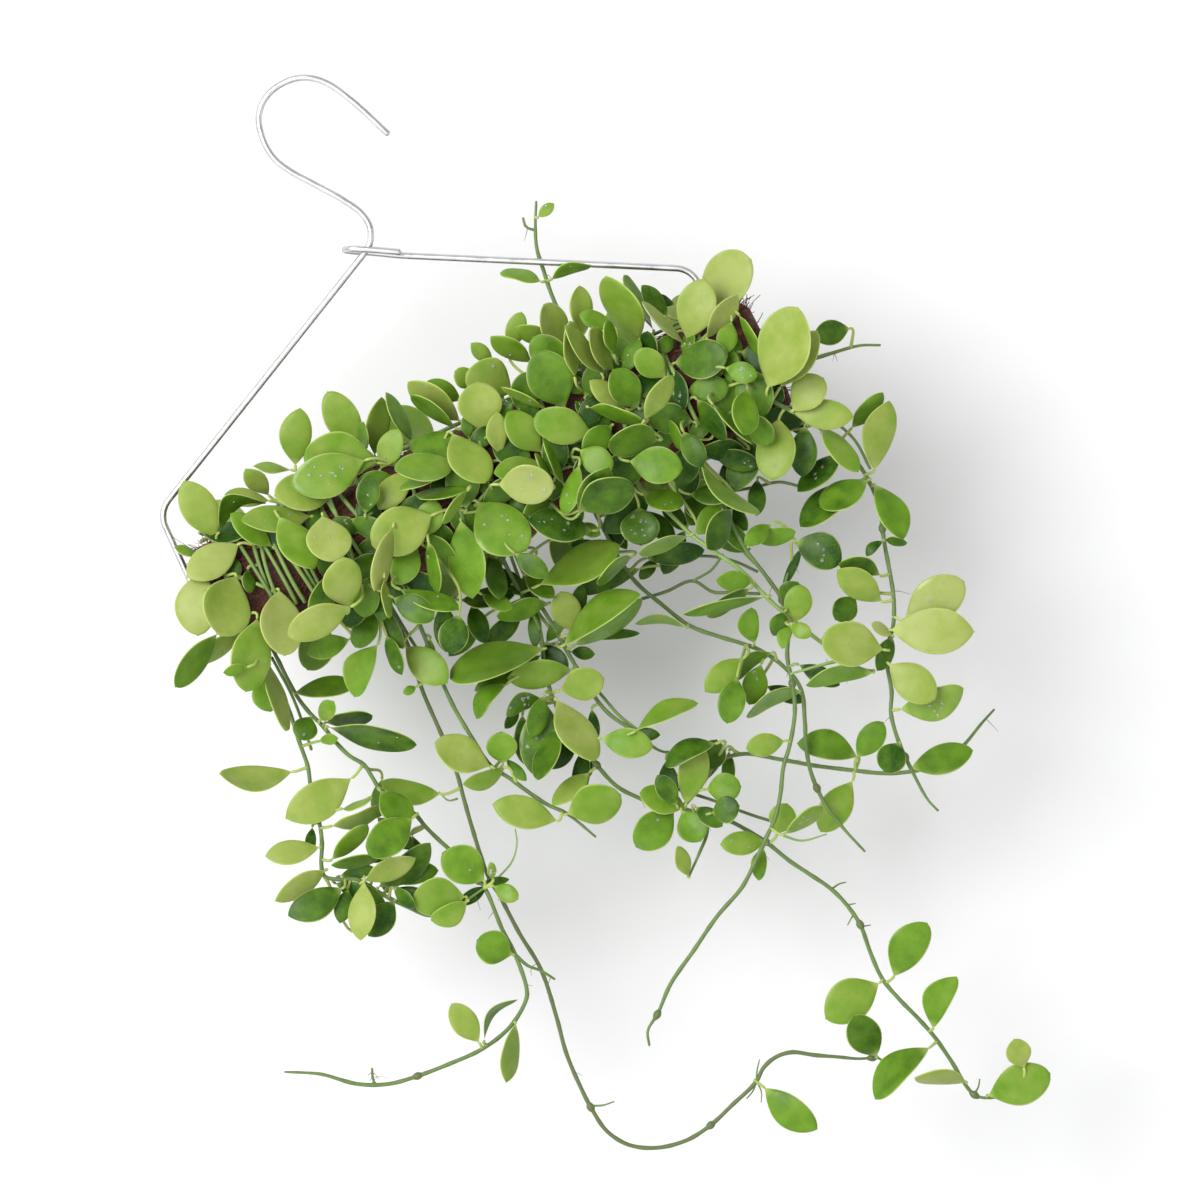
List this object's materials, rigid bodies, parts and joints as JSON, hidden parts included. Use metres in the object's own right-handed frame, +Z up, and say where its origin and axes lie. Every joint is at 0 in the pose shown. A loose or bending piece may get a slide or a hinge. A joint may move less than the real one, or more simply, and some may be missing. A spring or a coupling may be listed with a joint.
{
  "type": "hanging dischidia on a coir log",
  "caption": "Trailing dischidia with round fleshy leaves, grown on a coir log that hangs in a bent wire hanger with an open hook.",
  "frame": {"origin": "the inside of the hook's top, where it rests on a rail", "axes": "+Z up as it hangs, +X to the hanger's right seen from the front, -Y towards the front that the picture shows"},
  "size_m": [0.3599, 0.1146, 0.5287],
  "materials": {
    "wire": "bright galvanised wire, slightly dulled",
    "coir": "matted dark red-brown coconut fibre, damp",
    "leaf": "fleshy waxy leaf, mid to yellow green, soft gloss",
    "shoot": "fleshy waxy leaves on thin green to grey-green stems"
  },
  "bodies": {
    "root": {"hanger_wire": "wire", "coir_log": "coir", "front_foliage": "leaf", "back_foliage": "leaf", "left_spray": "shoot", "short_shoot": "shoot", "u_turn_shoot": "shoot", "centre_spray": "shoot", "straight_shoot": "shoot", "crossing_shoot": "shoot", "pale_shoot": "shoot", "outer_shoot": "shoot", "end_shoot": "shoot", "top_shoot": "shoot"}
  },
  "joints": []
}
